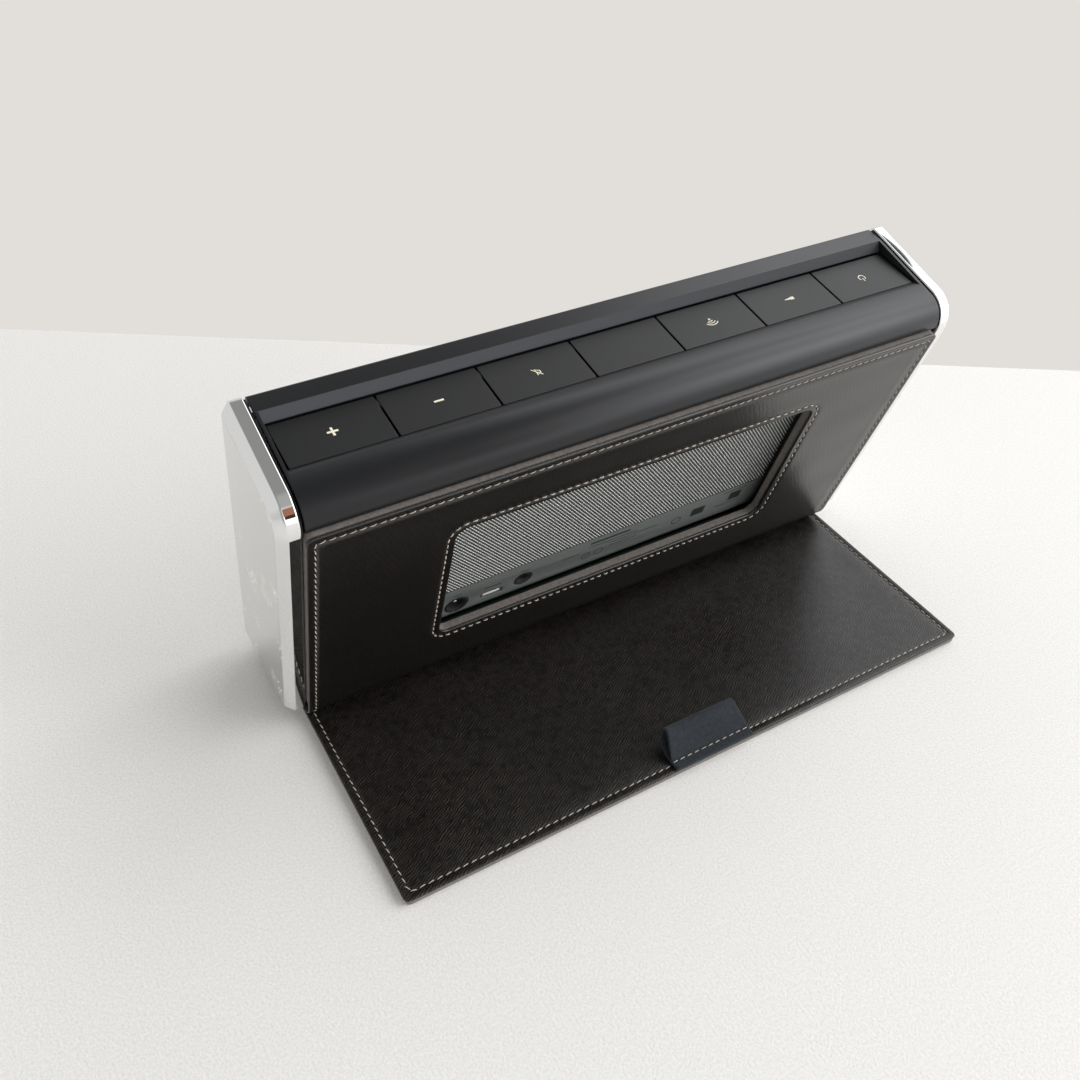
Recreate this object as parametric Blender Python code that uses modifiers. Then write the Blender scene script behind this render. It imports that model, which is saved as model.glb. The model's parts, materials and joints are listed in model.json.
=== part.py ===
"""A slim wireless speaker with a folding leather cover, standing on its opened cover.

Units are metres with +Z up, and lengths below are millimetres turned to metres by MM.
The table is the plane z = 0. The front grille faces -Y, and the rear window and the
opened flap face +Y. The speaker's body leans back, so most pieces are placed in a
leaning frame: y = 0 is the rear plane of its end caps, and z runs up its height.
"""

from math import atan2, cos, hypot, pi, radians, sin, tan

import bmesh
import bpy
from mathutils import Vector

MM = 0.001

# Driving dimensions, in millimetres and degrees.
LEAN = 16.04  # how far the standing body leans back
WIDTH = 244.0  # over both end caps
BODY_TOP = 123.0
CAP_DEPTH = 44.6  # rear plane to front plane of the end caps
CAP_BOTTOM = 9.0  # height of the caps' level lower edge over the table
CAP_INNER = 115.33  # half the distance between the caps
CAP_BEVEL = 2.4
SHELL_END = 114.2  # half length of the moulded shells
SHELL_TOP = 122.7
SHELL_FRONT = -44.1
SHELL_BACK = -0.5
SHELL_LEDGE = 114.3  # lower edge of the top shell at the back
WALL = 2.0

KEY_PITCH = 32.2
KEY_GAP = 0.35
KEY_FRONT = (-33.9, 119.8)  # front edge of the keys' upper face
KEY_BACK = (-16.5, 121.9)
KEY_THICK = 1.6
STEM_RADIUS = 1.6
STEM_DEPTH = 5.0  # end of a key's stem under its upper face
SLOT_END = 113.2  # half length of the slot that holds the keys
FLOOR_TOP = 116.6  # floor of that slot
FLOOR_BOTTOM = 114.9

COVER_OUT = 1.9  # outer face of the cover's rear panel
COVER_TOP = 114.0
COVER_HALF = 114.9
LEATHER = 1.5
BOARD_INSET = 1.1  # from the leather's ends to the ends of the boards inside it
BOARD_OUT = 0.1
BOARD_IN = -2.2
SPINE_BOTTOM = 3.5  # underside of the cover's spine over the table
SPINE_TOP = 7.6
ROLL_RADIUS = 9.5  # outer bend from the rear panel to the spine
WINDOW = (68.4, 31.2, 93.4)  # half width, lower and upper edge
WINDOW_CORNER = 4.5

HINGE_Y = -45.67  # the flap's fold line, in the standing frame
HINGE_Z = 3.3
FLAP_HALF = 114.3
FLAP_END = 80.7
FLAP_LEATHER = (2.0, 3.1)  # lower and upper face over the table
FLAP_BOARD = (0.0, 1.7)
TAB_HALF = 16.0

HOUSING_BACK = -2.5
HOUSING_IN = -4.3
HOUSING_BOTTOM = 9.5  # over the table
GRILLE_BACK = -4.6  # face of the rear grille and the connector strip
STRIP = (29.3, 44.9)  # lower and upper edge of the connector strip
BAFFLE = (-39.5, -37.0)
GRILLE_FRONT = (-41.1, -40.0)
FRONT_BOTTOM = -0.5  # lower edge of baffle and front grille
FRONT_TOP = 118.5
DRIVER_HEIGHT = 62.0
DRIVER_RADIUS = 22.0
DRIVER_PLACES = (-86.5, -41.0, 41.0, 86.5)
CAP_SCREW_HEIGHTS = (30.0, 100.0)
CAP_SCREW_DEPTH = -22.0
BASE_SCREW_PLACES = (-85.0, -30.0, 30.0, 85.0)
BASE_SCREW_Y = -20.0

SINE, COSINE = sin(radians(LEAN)), cos(radians(LEAN))


def level(height, y):
    """The leaning z at leaning y of a point that stands at this height over the table."""
    return (height + y * SINE) / COSINE


def leaning(y, z):
    """A standing (y, z) in the leaning frame."""
    return y * COSINE - z * SINE, y * SINE + z * COSINE


def clear_scene():
    for old in list(bpy.data.objects):
        bpy.data.objects.remove(old, do_unlink=True)


def new_collection(name):
    collection = bpy.data.collections.new(name)
    bpy.context.scene.collection.children.link(collection)
    return collection


def new_material(name, colour, roughness, metallic=0.0):
    made = bpy.data.materials.new(name)
    made.use_nodes = True
    shader = made.node_tree.nodes["Principled BSDF"]
    shader.inputs["Base Color"].default_value = (*colour, 1.0)
    shader.inputs["Roughness"].default_value = roughness
    shader.inputs["Metallic"].default_value = metallic
    return made


clear_scene()
PARTS = new_collection("leather_cover_speaker")
CUTTERS = new_collection("cutters")

LEATHER_SKIN = new_material("leather", (0.022, 0.016, 0.013), 0.45)
LINING = new_material("lining", (0.11, 0.1, 0.09), 0.85)
SUEDE = new_material("suede", (0.012, 0.014, 0.018), 0.95)
CHROME = new_material("chrome", (0.8, 0.8, 0.8), 0.05, 1.0)
SHELL = new_material("shell", (0.02, 0.02, 0.022), 0.4)
KEY = new_material("key", (0.012, 0.012, 0.013), 0.5)
MESH = new_material("grille", (0.35, 0.36, 0.36), 0.35, 0.8)
STRIP_GREY = new_material("strip", (0.1, 0.11, 0.1), 0.5)
STEEL = new_material("steel", (0.55, 0.55, 0.55), 0.3, 1.0)
RUBBER = new_material("rubber", (0.01, 0.01, 0.01), 0.8)
BOARD = new_material("circuit_board", (0.01, 0.08, 0.03), 0.4)
CELL = new_material("cell_wrap", (0.02, 0.05, 0.15), 0.35)
PAPER = new_material("cone_paper", (0.03, 0.03, 0.03), 0.7)


def new_empty(name, place, turn=0.0, parent=None):
    """A frame at a place in millimetres, turned about X by this many degrees."""
    empty = bpy.data.objects.new(name, None)
    PARTS.objects.link(empty)
    empty.parent = parent
    empty.location = Vector(place) * MM
    empty.rotation_euler.x = radians(turn)
    return empty


LEAN_FRAME = new_empty("lean", (0, 0, 0), -LEAN)
KEY_SLOPE = atan2(KEY_BACK[1] - KEY_FRONT[1], KEY_BACK[0] - KEY_FRONT[0])
KEY_LENGTH = hypot(KEY_BACK[1] - KEY_FRONT[1], KEY_BACK[0] - KEY_FRONT[0])
KEY_MIDDLE = ((KEY_FRONT[0] + KEY_BACK[0]) / 2, (KEY_FRONT[1] + KEY_BACK[1]) / 2)
KEY_DECK = new_empty("key_deck", (0, *KEY_MIDDLE), KEY_SLOPE * 180 / pi, LEAN_FRAME)
FLAP_HINGE = new_empty("flap_hinge", (0, HINGE_Y, HINGE_Z))


def place(mesh, name, finish, parent, location=(0, 0, 0), turn=(0, 0, 0)):
    """An object for the mesh: a part with its finish, or a cutter where finish is None."""
    made = bpy.data.objects.new(name, mesh)
    made.parent = parent
    made.location = Vector(location) * MM
    made.rotation_euler = turn
    if finish is None:
        CUTTERS.objects.link(made)
        made.hide_render = True
        made.display_type = "WIRE"
    else:
        PARTS.objects.link(made)
        mesh.materials.append(finish)
    return made


def rounded(corners, segments=3):
    """An outline through (u, v, radius) corners, with each radius as an arc."""
    points = []
    for i, (u, v, radius) in enumerate(corners):
        corner = Vector((u, v))
        if not radius:
            points.append(corner)
            continue
        before = (Vector(corners[i - 1][:2]) - corner).normalized()
        after = (Vector(corners[(i + 1) % len(corners)][:2]) - corner).normalized()
        half = before.angle(after) / 2
        centre = corner + (before + after).normalized() * radius / sin(half)
        start = corner + before * radius / tan(half) - centre
        end = corner + after * radius / tan(half) - centre
        first = atan2(start.y, start.x)
        sweep = (atan2(end.y, end.x) - first + pi) % (2 * pi) - pi
        points += arc(centre, radius, first, first + sweep, segments)
    return points


def arc(centre, radius, first, last, segments):
    """Points along an arc between two angles, both ends included."""
    angles = [first + (last - first) * i / segments for i in range(segments + 1)]
    return [Vector((centre[0] + radius * cos(a), centre[1] + radius * sin(a))) for a in angles]


def rectangle(half_width, low, high, radius=0.0):
    return rounded(
        [
            (-half_width, low, radius),
            (half_width, low, radius),
            (half_width, high, radius),
            (-half_width, high, radius),
        ]
    )


def outline_mesh(outlines, thickness):
    """A closed plate in XY, centred on z = 0: the first outline with the others as holes."""
    curve = bpy.data.curves.new("outline", "CURVE")
    curve.dimensions = "2D"
    curve.fill_mode = "BOTH"
    curve.extrude = thickness / 2 * MM
    for outline in outlines:
        spline = curve.splines.new("POLY")
        spline.points.add(len(outline) - 1)
        spline.use_cyclic_u = True
        for point, (u, v) in zip(spline.points, outline):
            point.co = (u * MM, v * MM, 0.0, 1.0)
    drawn = bpy.data.objects.new("outline", curve)
    CUTTERS.objects.link(drawn)
    depsgraph = bpy.context.evaluated_depsgraph_get()
    mesh = bpy.data.meshes.new_from_object(drawn.evaluated_get(depsgraph))
    bpy.data.objects.remove(drawn)
    shape = bmesh.new()
    shape.from_mesh(mesh)
    bmesh.ops.remove_doubles(shape, verts=shape.verts, dist=1e-7)
    bmesh.ops.recalc_face_normals(shape, faces=shape.faces)
    if shape.calc_volume(signed=True) < 0:
        bmesh.ops.reverse_faces(shape, faces=shape.faces)
    shape.to_mesh(mesh)
    shape.free()
    return mesh


def prism(name, outline, span, finish, parent=LEAN_FRAME, holes=()):
    """An outline in (y, z) that runs along X over the span."""
    mesh = outline_mesh([outline, *holes], span[1] - span[0])
    return place(mesh, name, finish, parent, (sum(span) / 2, 0, 0), (pi / 2, 0, pi / 2))


def upright(name, outline, span, finish, parent=LEAN_FRAME, holes=()):
    """An outline in (x, z) that runs along Y over the span."""
    mesh = outline_mesh([outline, *holes], span[1] - span[0])
    return place(mesh, name, finish, parent, (0, sum(span) / 2, 0), (pi / 2, 0, 0))


def slab(name, outline, span, finish, parent=None):
    """An outline in (x, y) that runs along Z over the span."""
    mesh = outline_mesh([outline], span[1] - span[0])
    return place(mesh, name, finish, parent, (0, 0, sum(span) / 2))


def block(name, centre, size, finish, parent=LEAN_FRAME):
    mesh = bpy.data.meshes.new(name)
    shape = bmesh.new()
    bmesh.ops.create_cube(shape, size=1.0)
    bmesh.ops.scale(shape, vec=Vector(size) * MM, verts=shape.verts)
    shape.to_mesh(mesh)
    shape.free()
    return place(mesh, name, finish, parent, centre)


def cone(name, base, top, radii, finish, parent=LEAN_FRAME, sides=14):
    """A cylinder or cone between two points on one axis line, with a radius at each."""
    along = Vector(top) - Vector(base)
    mesh = bpy.data.meshes.new(name)
    shape = bmesh.new()
    bmesh.ops.create_cone(
        shape,
        cap_ends=True,
        segments=sides,
        radius1=radii[0] * MM,
        radius2=radii[1] * MM,
        depth=along.length * MM,
    )
    shape.to_mesh(mesh)
    shape.free()
    turn = Vector((0, 0, 1)).rotation_difference(along).to_euler()
    return place(mesh, name, finish, parent, (Vector(base) + Vector(top)) / 2, turn)


def turned(name, profile, face, finish, turn, parent=LEAN_FRAME, steps=20):
    """A (radius, height) profile turned about local Z, placed with its height 0 at face."""
    mesh = bpy.data.meshes.new(name)
    shape = bmesh.new()
    line = [shape.verts.new((r * MM, 0.0, h * MM)) for r, h in profile]
    for first, second in zip(line, line[1:]):
        shape.edges.new((first, second))
    shape.to_mesh(mesh)
    shape.free()
    made = place(mesh, name, finish, parent, face, turn)
    screw = made.modifiers.new("turn", "SCREW")
    screw.steps = screw.render_steps = steps
    screw.use_merge_vertices = True
    screw.merge_threshold = 1e-5
    return made


def boolean(target, operation, tools):
    for tool in tools:
        modifier = target.modifiers.new(tool.name, "BOOLEAN")
        modifier.operation = operation
        modifier.object = tool


def cut(target, *tools):
    boolean(target, "DIFFERENCE", tools)


def join(target, *tools):
    boolean(target, "UNION", tools)


def soften(target, width, segments=1):
    """Every sharp edge of the target rounded over by the width."""
    bevel = target.modifiers.new("soften", "BEVEL")
    bevel.width = width * MM
    bevel.segments = segments
    bevel.limit_method = "ANGLE"
    bevel.angle_limit = radians(50)


def bevel_outer_rim(target, outward, width):
    """The rim of an extruded plate's face at local +Z or -Z, bevelled by a flat chamfer."""
    shape = bmesh.new()
    shape.from_mesh(target.data)
    weights = shape.edges.layers.float.new("bevel_weight_edge")
    for edge in shape.edges:
        at_rim = all(vert.co.z * outward > 0 for vert in edge.verts)
        if at_rim and edge.calc_face_angle(0.0) > radians(60):
            edge[weights] = 1.0
    shape.to_mesh(target.data)
    shape.free()
    bevel = target.modifiers.new("rim", "BEVEL")
    bevel.limit_method = "WEIGHT"
    bevel.width = width * MM
    bevel.segments = 2


def mirrored_span(side, inner, outer):
    return tuple(sorted((side * inner, side * outer)))


def cap_outline(inset=0.0):
    """The end caps' profile, level along its lower edge, drawn in by the inset."""
    back, front = -inset, inset - CAP_DEPTH
    low = CAP_BOTTOM + inset
    return rounded(
        [
            (back, level(low, back), 4.0 - inset),
            (back, BODY_TOP - inset, 10.0 - inset),
            (front, BODY_TOP - inset, 2.5 - inset),
            (front, level(low, front), 2.0 - inset),
        ]
    )


def make_end(side, word):
    """One end of the body: chrome cap, gasket, inner plate and two cap screws."""
    cap = prism("end_cap_" + word, cap_outline(), mirrored_span(side, CAP_INNER, WIDTH / 2), CHROME)
    bevel_outer_rim(cap, side, CAP_BEVEL)
    gasket_span = mirrored_span(side, SHELL_END + 0.45, CAP_INNER - 0.3)
    gasket = prism("end_gasket_" + word, cap_outline(0.8), gasket_span, RUBBER)
    plate_outline = rounded([(-5.0, 14.0, 2), (-5.0, 110.0, 2), (-36.2, 110.0, 2), (-36.2, 14.0, 2)])
    plate = prism("end_plate_" + word, plate_outline, mirrored_span(side, 111.8, 113.2), STEEL)
    for number, height in enumerate(CAP_SCREW_HEIGHTS, 1):
        def point(x):
            return (side * x, CAP_SCREW_DEPTH, height)

        hole = cone(f"cap_hole_{word}_{number}", point(108.0), point(119.3), (1.8, 1.8), None)
        cut(cap, hole)
        cut(gasket, hole)
        cut(plate, hole)
        profile = [(0, 0), (2.8, 0), (2.8, -1.6), (1.5, -1.6), (1.5, -8.0), (0, -8.0)]
        turn = (0, -side * pi / 2, 0)
        turned(f"cap_screw_{word}_{number}", profile, point(109.8), STEEL, turn, steps=12)


def make_top_shell():
    """The moulded top: front lip, slot for the keys with its floor, and rounded back."""
    lip_top = SHELL_TOP - 0.8 * WALL
    outline = rounded(
        [
            (SHELL_FRONT, 119.0, 0),
            (SHELL_FRONT, SHELL_TOP, 2.3),
            (SHELL_BACK, SHELL_TOP, 8.2),
            (SHELL_BACK, SHELL_LEDGE, 0),
            (SHELL_BACK - WALL, SHELL_LEDGE, 0),
            (SHELL_BACK - WALL, SHELL_TOP - WALL, 6.2),
            (-14.0, SHELL_TOP - WALL, 0),
            (-14.5, FLOOR_BOTTOM, 0),
            (-36.8, FLOOR_BOTTOM, 0),
            (-36.8, lip_top, 0),
            (SHELL_FRONT + WALL, lip_top, 0.5),
            (SHELL_FRONT + WALL, 119.0, 0),
        ],
        segments=5,
    )
    shell = prism("top_shell", outline, (-SHELL_END, SHELL_END), SHELL)
    slot_outline = [
        (-36.4, SHELL_TOP + 1.0),
        (-36.4, SHELL_TOP - 0.1),
        (-35.0, 119.5),
        (-35.0, FLOOR_TOP),
        (-16.1, FLOOR_TOP),
        (-16.1, 121.7),
        (-13.6, SHELL_TOP + 0.1),
        (-13.6, SHELL_TOP + 1.0),
    ]
    cut(shell, prism("slot", slot_outline, (-SLOT_END, SLOT_END), None))
    return shell


def make_keys(shell):
    """Seven tiles in a row over the slot: six keys that press and one fixed blank."""
    names = ["power", "aux", "wireless", "indicator", "mute", "minus", "plus"]
    for number, word in enumerate(names):
        x = (number - 3) * KEY_PITCH
        size = (KEY_PITCH - KEY_GAP, KEY_LENGTH, KEY_THICK)
        name = "indicator_tile" if word == "indicator" else "key_" + word
        tile = block(name, (x, 0, 0), size, KEY, KEY_DECK)
        for vert in tile.data.vertices:
            vert.co.z -= KEY_THICK / 2 * MM
        soften(tile, 0.25)
        stem = cone(
            "stem_" + word,
            (x, 0, -STEM_DEPTH),
            (x, 0, -KEY_THICK / 2),
            (STEM_RADIUS, STEM_RADIUS),
            None,
            KEY_DECK,
            sides=10,
        )
        join(tile, stem)
        hole_radius = STEM_RADIUS + 0.7
        hole = cone(
            "stem_hole_" + word,
            (x, 0, -STEM_DEPTH - 4.0),
            (x, 0, -KEY_THICK - 1.0),
            (hole_radius, hole_radius),
            None,
            KEY_DECK,
            sides=10,
        )
        cut(shell, hole)


def make_key_electronics():
    block("key_mat", (0, -25.5, 113.95), (214.0, 18.0, 1.1), RUBBER)
    block("key_board", (0, -25.5, 112.3), (214.0, 19.0, 1.6), BOARD)


def make_rear_housing():
    """The moulded back and bottom, with the window behind the cover's own window."""
    front = -36.7
    outline = rounded(
        [
            (HOUSING_BACK, SHELL_LEDGE - 0.4, 0),
            (HOUSING_BACK, level(HOUSING_BOTTOM, HOUSING_BACK), 3.2),
            (front, level(HOUSING_BOTTOM, front), 0),
            (front, level(HOUSING_BOTTOM, front) + WALL, 0),
            (HOUSING_IN, level(HOUSING_BOTTOM, HOUSING_IN) + WALL, 1.5),
            (HOUSING_IN, SHELL_LEDGE - 0.4, 0),
        ]
    )
    housing = prism("rear_housing", outline, (-SHELL_END, SHELL_END), SHELL)
    opening = rectangle(71.0, 27.5, 96.0, 4.0)
    cut(housing, upright("housing_window", opening, (-12.0, 4.0), None))
    return housing


def make_rear_panel():
    """The perforated grille and the connector strip that show in the rear window."""
    grille = rectangle(73.0, STRIP[1] + 0.4, 98.5, 2.0)
    upright("rear_grille", grille, (GRILLE_BACK - 1.2, GRILLE_BACK), MESH)
    strip = rectangle(73.0, *STRIP, 1.0)
    panel = upright("connector_strip", strip, (GRILLE_BACK - 1.8, GRILLE_BACK), STRIP_GREY)
    dc_place, usb_place, aux_place = (58.9, 34.9), (45.3, 34.3), (32.8, 35.8)
    for word, (x, z), radius in (("dc", dc_place, 4.7), ("aux", aux_place, 3.8)):
        hole = cone(f"{word}_hole", (x, -8.0, z), (x, -2.0, z), (radius, radius), None, sides=20)
        cut(panel, hole)
    cut(panel, block("usb_hole", (usb_place[0], -5.0, usb_place[1]), (9.0, 6.0, 3.0), None))
    facing_back = (-pi / 2, 0, 0)
    pin = [(0, -1.0), (0.9, -1.0), (0.9, -5.0)]
    barrel = [(3.1, -5.0), (3.1, 0), (4.4, 0), (4.4, -6.0), (0, -6.0)]
    dc_face = (dc_place[0], GRILLE_BACK + 0.2, dc_place[1])
    turned("dc_socket", pin + barrel, dc_face, RUBBER, facing_back)
    jack = [(0, -5.0), (1.8, -5.0), (1.8, -0.6), (3.5, 0), (3.5, -6.0), (0, -6.0)]
    aux_face = (aux_place[0], GRILLE_BACK + 0.2, aux_place[1])
    turned("aux_socket", jack, aux_face, RUBBER, facing_back)
    socket = block("usb_socket", (usb_place[0], -7.6, usb_place[1]), (8.4, 5.6, 2.4), STEEL)
    cut(socket, block("usb_mouth", (usb_place[0], -6.0, usb_place[1]), (7.4, 4.8, 1.5), None))


def make_front():
    """Baffle with its openings, grille in front of it, and what hangs on the baffle."""
    openings = [arc((x, DRIVER_HEIGHT), DRIVER_RADIUS - 2, 0, 2 * pi * 19 / 20, 19) for x in DRIVER_PLACES]
    openings.append([(-15.0, 34.0), (15.0, 34.0), (15.0, 90.0), (-15.0, 90.0)])
    face = rectangle(SHELL_END, FRONT_BOTTOM, FRONT_TOP)
    upright("front_baffle", face, BAFFLE, SHELL, holes=openings)
    upright("front_grille", face, GRILLE_FRONT, MESH)
    facing_front = (pi / 2, 0, 0)
    profile = [
        (0, -5.5),
        (6, -6.0),
        (17, -1.2),
        (20, 0),
        (DRIVER_RADIUS, 0),
        (DRIVER_RADIUS, -1.6),
        (15, -9.5),
        (14, -12),
        (14, -20),
        (0, -20),
    ]
    for number, x in enumerate(DRIVER_PLACES, 1):
        turned(f"driver_{number}", profile, (x, BAFFLE[1] + 0.3, DRIVER_HEIGHT), PAPER, facing_front)
    radiator = rectangle(17.5, 31.5, 92.5, 8.0)
    upright("passive_radiator_front", radiator, (BAFFLE[1] + 0.3, BAFFLE[1] + 3.3), PAPER)
    rear_radiator = rectangle(34.0, 52.0, 92.0, 14.0)
    upright("passive_radiator_rear", rear_radiator, (GRILLE_BACK - 5.2, GRILLE_BACK - 1.6), PAPER)
    for side, word in ((-1, "right"), (1, "left")):
        centre = (side * 100.0, BAFFLE[1] + 0.3, 104.0)
        tip = (side * 100.0, BAFFLE[1] + 3.3, 104.0)
        cone("latch_magnet_" + word, centre, tip, (5.0, 5.0), STEEL)


def make_electronics():
    block("battery_pack", (0, -24.5, 19.5), (134.0, 19.0, 19.0), CELL)
    block("main_board", (0, -12.4, 27.0), (150.0, 1.6, 30.0), BOARD)
    block("wireless_module", (-60.0, -14.6, 36.5), (18.0, 2.0, 13.0), STEEL)


def bent_outline(inset, thickness, lip):
    """The cover's rear panel, bend and spine in one strip, this far inside the outer face."""
    centre_y = COVER_OUT - ROLL_RADIUS
    centre = (centre_y, level(SPINE_BOTTOM + ROLL_RADIUS, centre_y))
    outer, inner = ROLL_RADIUS - inset, ROLL_RADIUS - inset - thickness
    last = -radians(90 - LEAN)
    low = SPINE_BOTTOM + inset
    tip = [leaning(lip, low), leaning(lip, low + thickness)]
    panel_top = [(COVER_OUT - inset - thickness, COVER_TOP), (COVER_OUT - inset, COVER_TOP)]
    outside = arc(centre, outer, 0, last, 6)
    inside = arc(centre, inner, last, 0, 6)
    return [*outside, *tip, *inside, *panel_top]


def make_cover(housing):
    """The part of the cover that stays on the body: leather, boards, plate and fold."""
    span = (-COVER_HALF, COVER_HALF)
    leather = prism("cover_leather", bent_outline(0, LEATHER, HINGE_Y + 2.6), span, LEATHER_SKIN)
    window = rectangle(*WINDOW, WINDOW_CORNER)
    cut(leather, upright("leather_window", window, (-1.0, 6.0), None))
    board = rectangle(COVER_HALF - BOARD_INSET, 12.5, COVER_TOP - 0.3)
    upright("panel_board", board, (BOARD_IN, BOARD_OUT), LINING, holes=[window])

    def strip(half, back, front):
        return [(-half, back), (half, back), (half, front), (-half, front)]

    spine_span = (SPINE_BOTTOM + LEATHER + 0.3, SPINE_TOP)
    slab("spine_board", strip(COVER_HALF - BOARD_INSET, -3.9, -40.4), spine_span, LINING)
    plate_span = (SPINE_TOP + 0.3, HOUSING_BOTTOM - 0.3)
    plate = slab("base_plate", strip(100.0, -8.0, -36.0), plate_span, STEEL)
    for number, x in enumerate(BASE_SCREW_PLACES, 1):
        low = (x, BASE_SCREW_Y, plate_span[0])
        sink_low, sink_high = (x, BASE_SCREW_Y, plate_span[0] - 1), (x, BASE_SCREW_Y, plate_span[1] + 1)
        cut(plate, cone(f"sink_{number}", sink_low, sink_high, (4.0, 0.9), None, None, sides=12))
        bore_low = (x, BASE_SCREW_Y, plate_span[1] - 1.5)
        bore_high = (x, BASE_SCREW_Y, plate_span[1] + 6.0)
        bore = cone(f"base_hole_{number}", bore_low, bore_high, (1.7, 1.7), None, None, sides=12)
        cut(plate, bore)
        cut(housing, bore)
        profile = [(0, 5.0), (1.3, 5.0), (1.3, 1.2), (2.5, 0.1), (0, 0.1)]
        turned(f"base_screw_{number}", profile, low, STEEL, (0, 0, 0), None, steps=12)
    fold_low, fold_high = (-COVER_HALF, 0, 0), (COVER_HALF, 0, 0)
    cone("cover_fold", fold_low, fold_high, (1.0, 1.0), LEATHER_SKIN, FLAP_HINGE, sides=12)


def make_flap():
    """The flap that folds from the front of the speaker to lie under and behind it."""

    def sheet(name, half, near, far, faces, finish):
        outline = rounded(
            [
                (-half, near - HINGE_Y, 0),
                (half, near - HINGE_Y, 0),
                (half, far - HINGE_Y, 1.5),
                (-half, far - HINGE_Y, 1.5),
            ]
        )
        span = (faces[0] - HINGE_Z, faces[1] - HINGE_Z)
        return slab(name, outline, span, finish, FLAP_HINGE)

    sheet("flap_leather", FLAP_HALF, HINGE_Y + 1.5, FLAP_END, FLAP_LEATHER, LEATHER_SKIN)
    sheet("flap_board", FLAP_HALF - 0.3, HINGE_Y + 4.8, FLAP_END - 0.4, FLAP_BOARD, LINING)


def make_pull_tab():
    """A ribbon sewn to the flap's free edge and folded back on itself as a soft loop."""
    low = FLAP_LEATHER[1] + 0.3
    thick = 1.0
    outer = rounded(
        [
            (81.6, low, 0.3),
            (81.6, low + thick, 0.4),
            (77.2, low + 1.5, 0.8),
            (73.4, low + 10.2, 2.6),
            (66.6, low + 8.4, 3.4),
            (67.6, low, 2.4),
        ]
    )
    inner = rounded(
        [
            (75.7, low + thick, 0.3),
            (72.6, low + 9.0, 1.9),
            (67.8, low + 7.7, 2.6),
            (68.5, low + thick, 1.6),
        ]
    )
    outlines = [[(y - HINGE_Y, z - HINGE_Z) for y, z in outline] for outline in (outer, inner)]
    prism("pull_tab", outlines[0], (-TAB_HALF, TAB_HALF), SUEDE, FLAP_HINGE, [outlines[1]])


def main():
    for side, word in ((1, "left"), (-1, "right")):
        make_end(side, word)
    make_keys(make_top_shell())
    make_key_electronics()
    housing = make_rear_housing()
    make_rear_panel()
    make_front()
    make_electronics()
    make_cover(housing)
    make_flap()
    make_pull_tab()


main()
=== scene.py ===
"""The looks of a slim wireless speaker that stands on its folding leather cover.

Lengths are millimetres and turn into metres where a mesh is made. The body's pieces are
shaped in a leaning frame: x across, y = 0 at the rear plane of the end caps, z up the
body. stand() turns that frame upright. The flap's pieces are shaped as they stand.
"""

import json
from math import atan2, cos, hypot, pi, radians, sin, tan

import bmesh
import bpy
import numpy as np
from mathutils import Matrix, Vector
from mathutils.geometry import delaunay_2d_cdt


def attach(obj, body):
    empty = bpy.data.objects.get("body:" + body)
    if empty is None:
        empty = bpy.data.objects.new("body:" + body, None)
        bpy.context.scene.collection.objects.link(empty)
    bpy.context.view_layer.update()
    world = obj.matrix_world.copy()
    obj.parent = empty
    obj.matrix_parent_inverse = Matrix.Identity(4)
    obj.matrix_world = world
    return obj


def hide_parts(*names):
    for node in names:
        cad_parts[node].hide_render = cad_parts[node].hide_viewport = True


MM = 0.001
LEAN = radians(16.04)  # how far the body leans back
SINE, COSINE = sin(LEAN), cos(LEAN)
SPEAKER, FLAP = "speaker", "flap"
STITCH_PITCH = 2.92
STITCH_INSET = 2.6  # from an edge to the line of stitches
LEATHER = 0.7
LAYER_GAP = 0.4  # the dark line between the leather and the board behind it
HEM_THICK = 1.1  # the pull tab's two layers where they are sewn

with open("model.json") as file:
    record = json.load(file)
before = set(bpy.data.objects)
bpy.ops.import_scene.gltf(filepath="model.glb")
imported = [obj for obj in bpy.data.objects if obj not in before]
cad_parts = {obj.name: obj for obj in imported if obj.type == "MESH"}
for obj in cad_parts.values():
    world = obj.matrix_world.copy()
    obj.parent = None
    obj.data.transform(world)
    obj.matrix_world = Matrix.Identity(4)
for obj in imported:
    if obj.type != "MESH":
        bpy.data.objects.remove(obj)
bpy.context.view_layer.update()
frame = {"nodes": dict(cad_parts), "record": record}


# ---------------------------------------------------------------- places read from the frame


def node_points(node):
    """A node's points in millimetres, as it stands."""
    mesh = frame["nodes"][node].data
    points = np.empty(len(mesh.vertices) * 3)
    mesh.vertices.foreach_get("co", points)
    return points.reshape(-1, 3) / MM


def lean(points):
    """Standing points in the leaning frame."""
    x, y, z = np.asarray(points, float).T
    return np.column_stack([x, y * COSINE - z * SINE, y * SINE + z * COSINE])


def stand(points):
    """Leaning points as they stand."""
    x, y, z = np.asarray(points, float).T
    return np.column_stack([x, y * COSINE + z * SINE, z * COSINE - y * SINE])


def lean_box(node):
    points = lean(node_points(node))
    return points.min(axis=0), points.max(axis=0)


def stand_box(node):
    points = node_points(node)
    return points.min(axis=0), points.max(axis=0)


CAP_BOTTOM = stand_box("end_cap_left")[0][2]


# ---------------------------------------------------------------- materials


def linear(*srgb):
    """Display values from 0 to 255 as the linear colour that a shader takes."""
    return tuple((v / 255 / 12.92) if v < 10.3 else ((v / 255 + 0.055) / 1.055) ** 2.4 for v in srgb)


def set_sockets(node, values):
    for socket, value in values.items():
        node.inputs[socket.replace("_", " ")].default_value = value


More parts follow.
